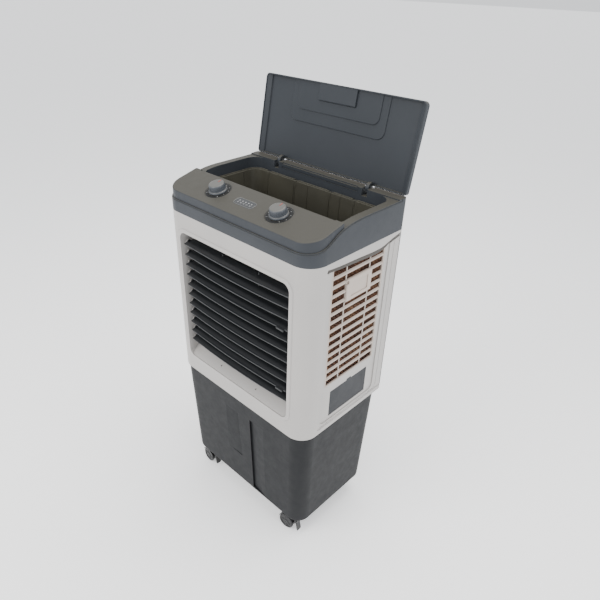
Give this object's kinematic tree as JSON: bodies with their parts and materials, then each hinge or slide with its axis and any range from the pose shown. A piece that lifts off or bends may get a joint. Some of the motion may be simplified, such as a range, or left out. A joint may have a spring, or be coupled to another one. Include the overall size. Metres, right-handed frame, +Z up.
{
  "type": "evaporative cooler",
  "caption": "Upright evaporative air cooler on casters with a water tank, louvred front outlet, side pad grilles, dial panel and a hinged lid over an ice well.",
  "frame": {"origin": "on the floor under the middle of the outline with the lid open", "axes": "+Z up, the louvred front faces -Y, +X is the viewer's right from the front"},
  "size_m": [0.56, 0.4172, 1.3319],
  "materials": {
    "tank_plastic": "fine satin",
    "shell_plastic": "fine satin",
    "light_plastic": "semi-gloss",
    "louvre_plastic": "satin",
    "black_plastic": "satin",
    "pad_paper": "corrugated, matte",
    "window_plastic": "clear gloss over dark",
    "tray_plastic": "satin",
    "motor_steel": "satin paint",
    "shaft_steel": "ground",
    "screw_steel": "zinc plated",
    "hose_rubber": "matt",
    "wheel_rubber": "satin"
  },
  "bodies": {
    "cabinet": {"water_tank": "tank_plastic", "front_housing": "light_plastic", "rear_cover": "shell_plastic", "rear_pad": "pad_paper", "outlet_frame": "black_plastic", "fan_shroud": "black_plastic", "motor_bracket": "motor_steel", "fan_motor": "motor_steel", "swing_motor": "black_plastic", "water_distributor": "black_plastic", "water_pump": "black_plastic", "riser_pipe": "hose_rubber", "top_shell": "shell_plastic", "control_panel": "shell_plastic", "rotary_switches": "black_plastic", "indicator_window": "window_plastic", "hinge_pins": "shaft_steel", "blank_plate_left": "light_plastic", "cord_gland": "black_plastic", "casing_screws": "screw_steel"},
    "drain_plug": {"drain_plug": "tank_plastic"},
    "filter_right": {"side_grille_right": "light_plastic", "side_pad_right": "pad_paper"},
    "filter_left": {"side_grille_left": "light_plastic", "side_pad_left": "pad_paper"},
    "fill_flap": {"fill_flap": "shell_plastic"},
    "knob_left": {"knob_left": "shell_plastic"},
    "knob_right": {"knob_right": "shell_plastic"},
    "lid": {"lid": "shell_plastic"},
    "ice_tray": {"ice_tray": "tray_plastic"},
    "fan_rotor": {"impeller": "black_plastic", "motor_shaft": "shaft_steel"},
    "louvre_link_upper": {"louvre_link_upper": "louvre_plastic"},
    "louvre_link_lower": {"louvre_link_lower": "louvre_plastic"},
    "vane_link": {"vane_link": "louvre_plastic"},
    "louvre_01": {"louvre_01": "louvre_plastic"},
    "louvre_02": {"louvre_02": "louvre_plastic"},
    "louvre_03": {"louvre_03": "louvre_plastic"},
    "louvre_04": {"louvre_04": "louvre_plastic"},
    "louvre_05": {"louvre_05": "louvre_plastic"},
    "louvre_06": {"louvre_06": "louvre_plastic"},
    "louvre_07": {"louvre_07": "louvre_plastic"},
    "louvre_08": {"louvre_08": "louvre_plastic"},
    "louvre_09": {"louvre_09": "louvre_plastic"},
    "louvre_10": {"louvre_10": "louvre_plastic"},
    "louvre_11": {"louvre_11": "louvre_plastic"},
    "vane_1": {"vane_1": "louvre_plastic"},
    "vane_2": {"vane_2": "louvre_plastic"},
    "vane_3": {"vane_3": "louvre_plastic"},
    "vane_4": {"vane_4": "louvre_plastic"},
    "caster_front_left_yoke": {"caster_front_left_yoke": "black_plastic"},
    "caster_front_left_wheels": {"caster_front_left_wheels": "wheel_rubber"},
    "caster_front_left_brake": {"caster_front_left_brake": "black_plastic"},
    "caster_front_right_yoke": {"caster_front_right_yoke": "black_plastic"},
    "caster_front_right_wheels": {"caster_front_right_wheels": "wheel_rubber"},
    "caster_front_right_brake": {"caster_front_right_brake": "black_plastic"},
    "caster_rear_left_yoke": {"caster_rear_left_yoke": "black_plastic"},
    "caster_rear_left_wheels": {"caster_rear_left_wheels": "wheel_rubber"},
    "caster_rear_right_yoke": {"caster_rear_right_yoke": "black_plastic"},
    "caster_rear_right_wheels": {"caster_rear_right_wheels": "wheel_rubber"}
  },
  "joints": [
    {"name": "drain_plug_pull", "type": "slide", "parent": "cabinet", "child": "drain_plug", "axis": [0, 1, 0], "range_m": [0, 0.035]},
    {"name": "filter_right_pull", "type": "slide", "parent": "cabinet", "child": "filter_right", "axis": [1, 0, 0], "range_m": [0, 0.06]},
    {"name": "filter_left_pull", "type": "slide", "parent": "cabinet", "child": "filter_left", "axis": [-1, 0, 0], "range_m": [0, 0.06]},
    {"name": "fill_flap_hinge", "type": "hinge", "parent": "cabinet", "child": "fill_flap", "pos_m": [0.2735, -0.0106, 0.5105], "axis": [0, 1, 0], "range_deg": [0, 70]},
    {"name": "knob_left_turn", "type": "hinge", "parent": "cabinet", "child": "knob_left", "pos_m": [-0.115, -0.1431, 1.09188], "axis": [0, 0.2446, -0.9696], "range_deg": [0, 270]},
    {"name": "knob_right_turn", "type": "hinge", "parent": "cabinet", "child": "knob_right", "pos_m": [0.115, -0.1431, 1.09188], "axis": [0, 0.2446, -0.9696], "range_deg": [0, 270]},
    {"name": "lid_hinge", "type": "hinge", "parent": "cabinet", "child": "lid", "pos_m": [0, 0.1509, 1.102], "axis": [1, 0, 0], "range_deg": [0, 100]},
    {"name": "ice_tray_lift", "type": "slide", "parent": "cabinet", "child": "ice_tray", "axis": [0, 0, 1], "range_m": [0, 0.03]},
    {"name": "fan_spin", "type": "hinge", "parent": "cabinet", "child": "fan_rotor", "pos_m": [0, -0.0781, 0.732], "axis": [0, 1, 0], "continuous": true},
    {"name": "louvre_01_tilt", "type": "hinge", "parent": "cabinet", "child": "louvre_01", "pos_m": [0, -0.1821, 0.9214], "axis": [1, 0, 0], "range_deg": [-30, 25]},
    {"name": "louvre_02_tilt", "type": "hinge", "parent": "cabinet", "child": "louvre_02", "pos_m": [0, -0.1821, 0.8881], "axis": [1, 0, 0], "range_deg": [-30, 25]},
    {"name": "louvre_03_tilt", "type": "hinge", "parent": "cabinet", "child": "louvre_03", "pos_m": [0, -0.1821, 0.8548], "axis": [1, 0, 0], "range_deg": [-30, 25]},
    {"name": "louvre_04_tilt", "type": "hinge", "parent": "cabinet", "child": "louvre_04", "pos_m": [0, -0.1821, 0.8215], "axis": [1, 0, 0], "range_deg": [-30, 25]},
    {"name": "louvre_05_tilt", "type": "hinge", "parent": "cabinet", "child": "louvre_05", "pos_m": [0, -0.1821, 0.7882], "axis": [1, 0, 0], "range_deg": [-30, 25]},
    {"name": "louvre_06_tilt", "type": "hinge", "parent": "cabinet", "child": "louvre_06", "pos_m": [0, -0.1821, 0.7549], "axis": [1, 0, 0], "range_deg": [-30, 25]},
    {"name": "louvre_07_tilt", "type": "hinge", "parent": "cabinet", "child": "louvre_07", "pos_m": [0, -0.1821, 0.7216], "axis": [1, 0, 0], "range_deg": [-30, 25]},
    {"name": "louvre_08_tilt", "type": "hinge", "parent": "cabinet", "child": "louvre_08", "pos_m": [0, -0.1821, 0.6883], "axis": [1, 0, 0], "range_deg": [-30, 25]},
    {"name": "louvre_09_tilt", "type": "hinge", "parent": "cabinet", "child": "louvre_09", "pos_m": [0, -0.1821, 0.655], "axis": [1, 0, 0], "range_deg": [-30, 25]},
    {"name": "louvre_10_tilt", "type": "hinge", "parent": "cabinet", "child": "louvre_10", "pos_m": [0, -0.1821, 0.6217], "axis": [1, 0, 0], "range_deg": [-30, 25]},
    {"name": "louvre_11_tilt", "type": "hinge", "parent": "cabinet", "child": "louvre_11", "pos_m": [0, -0.1821, 0.5884], "axis": [1, 0, 0], "range_deg": [-30, 25]},
    {"name": "louvre_link_upper_turn", "type": "hinge", "parent": "louvre_04", "child": "louvre_link_upper", "pos_m": [0, -0.16923, 0.82331], "axis": [1, 0, 0], "range_deg": [-25, 30]},
    {"name": "louvre_link_lower_turn", "type": "hinge", "parent": "louvre_10", "child": "louvre_link_lower", "pos_m": [0, -0.16923, 0.62351], "axis": [1, 0, 0], "range_deg": [-25, 30]},
    {"name": "vane_1_swing", "type": "hinge", "parent": "cabinet", "child": "vane_1", "pos_m": [-0.1185, -0.1411, 0.732], "axis": [0, 0, 1], "range_deg": [-30, 30]},
    {"name": "vane_2_swing", "type": "hinge", "parent": "cabinet", "child": "vane_2", "pos_m": [-0.0395, -0.1411, 0.732], "axis": [0, 0, 1], "range_deg": [-30, 30]},
    {"name": "vane_3_swing", "type": "hinge", "parent": "cabinet", "child": "vane_3", "pos_m": [0.0395, -0.1411, 0.732], "axis": [0, 0, 1], "range_deg": [-30, 30]},
    {"name": "vane_4_swing", "type": "hinge", "parent": "cabinet", "child": "vane_4", "pos_m": [0.1185, -0.1411, 0.732], "axis": [0, 0, 1], "range_deg": [-30, 30]},
    {"name": "vane_link_turn", "type": "hinge", "parent": "vane_2", "child": "vane_link", "pos_m": [-0.0395, -0.1271, 0.595], "axis": [0, 0, 1], "range_deg": [-30, 30]},
    {"name": "caster_front_left_swivel", "type": "hinge", "parent": "cabinet", "child": "caster_front_left_yoke", "pos_m": [-0.205, -0.1571, 0.075], "axis": [0, 0, 1], "continuous": true},
    {"name": "caster_front_left_roll", "type": "hinge", "parent": "caster_front_left_yoke", "child": "caster_front_left_wheels", "pos_m": [-0.21797, -0.15619, 0.027], "axis": [-0.0698, -0.9976, 0], "continuous": true},
    {"name": "caster_front_left_brake_press", "type": "hinge", "parent": "caster_front_left_yoke", "child": "caster_front_left_brake", "pos_m": [-0.18505, -0.15849, 0.05], "axis": [0.0698, 0.9976, 0], "range_deg": [0, 10]},
    {"name": "caster_front_right_swivel", "type": "hinge", "parent": "cabinet", "child": "caster_front_right_yoke", "pos_m": [0.205, -0.1571, 0.075], "axis": [0, 0, 1], "continuous": true},
    {"name": "caster_front_right_roll", "type": "hinge", "parent": "caster_front_right_yoke", "child": "caster_front_right_wheels", "pos_m": [0.19207, -0.15846, 0.027], "axis": [0.1045, -0.9945, 0], "continuous": true},
    {"name": "caster_front_right_brake_press", "type": "hinge", "parent": "caster_front_right_yoke", "child": "caster_front_right_brake", "pos_m": [0.22489, -0.15501, 0.05], "axis": [-0.1045, 0.9945, 0], "range_deg": [0, 10]},
    {"name": "caster_rear_left_swivel", "type": "hinge", "parent": "cabinet", "child": "caster_rear_left_yoke", "pos_m": [-0.205, 0.1109, 0.075], "axis": [0, 0, 1], "continuous": true},
    {"name": "caster_rear_left_roll", "type": "hinge", "parent": "caster_rear_left_yoke", "child": "caster_rear_left_wheels", "pos_m": [-0.19278, 0.11535, 0.027], "axis": [-0.342, 0.9397, 0], "continuous": true},
    {"name": "caster_rear_right_swivel", "type": "hinge", "parent": "cabinet", "child": "caster_rear_right_yoke", "pos_m": [0.205, 0.1109, 0.075], "axis": [0, 0, 1], "continuous": true},
    {"name": "caster_rear_right_roll", "type": "hinge", "parent": "caster_rear_right_yoke", "child": "caster_rear_right_wheels", "pos_m": [0.19228, 0.1136, 0.027], "axis": [-0.2079, -0.9781, 0], "continuous": true}
  ],
  "couplings": [
    {"joint": "louvre_01_tilt", "follows": "louvre_04_tilt", "ratio": 1},
    {"joint": "louvre_02_tilt", "follows": "louvre_04_tilt", "ratio": 1},
    {"joint": "louvre_03_tilt", "follows": "louvre_04_tilt", "ratio": 1},
    {"joint": "louvre_05_tilt", "follows": "louvre_04_tilt", "ratio": 1},
    {"joint": "louvre_06_tilt", "follows": "louvre_04_tilt", "ratio": 1},
    {"joint": "louvre_07_tilt", "follows": "louvre_04_tilt", "ratio": 1},
    {"joint": "louvre_08_tilt", "follows": "louvre_10_tilt", "ratio": 1},
    {"joint": "louvre_09_tilt", "follows": "louvre_10_tilt", "ratio": 1},
    {"joint": "louvre_11_tilt", "follows": "louvre_10_tilt", "ratio": 1},
    {"joint": "louvre_link_upper_turn", "follows": "louvre_04_tilt", "ratio": -1},
    {"joint": "louvre_link_lower_turn", "follows": "louvre_10_tilt", "ratio": -1},
    {"joint": "vane_1_swing", "follows": "vane_2_swing", "ratio": 1},
    {"joint": "vane_3_swing", "follows": "vane_2_swing", "ratio": 1},
    {"joint": "vane_4_swing", "follows": "vane_2_swing", "ratio": 1},
    {"joint": "vane_link_turn", "follows": "vane_2_swing", "ratio": -1}
  ]
}
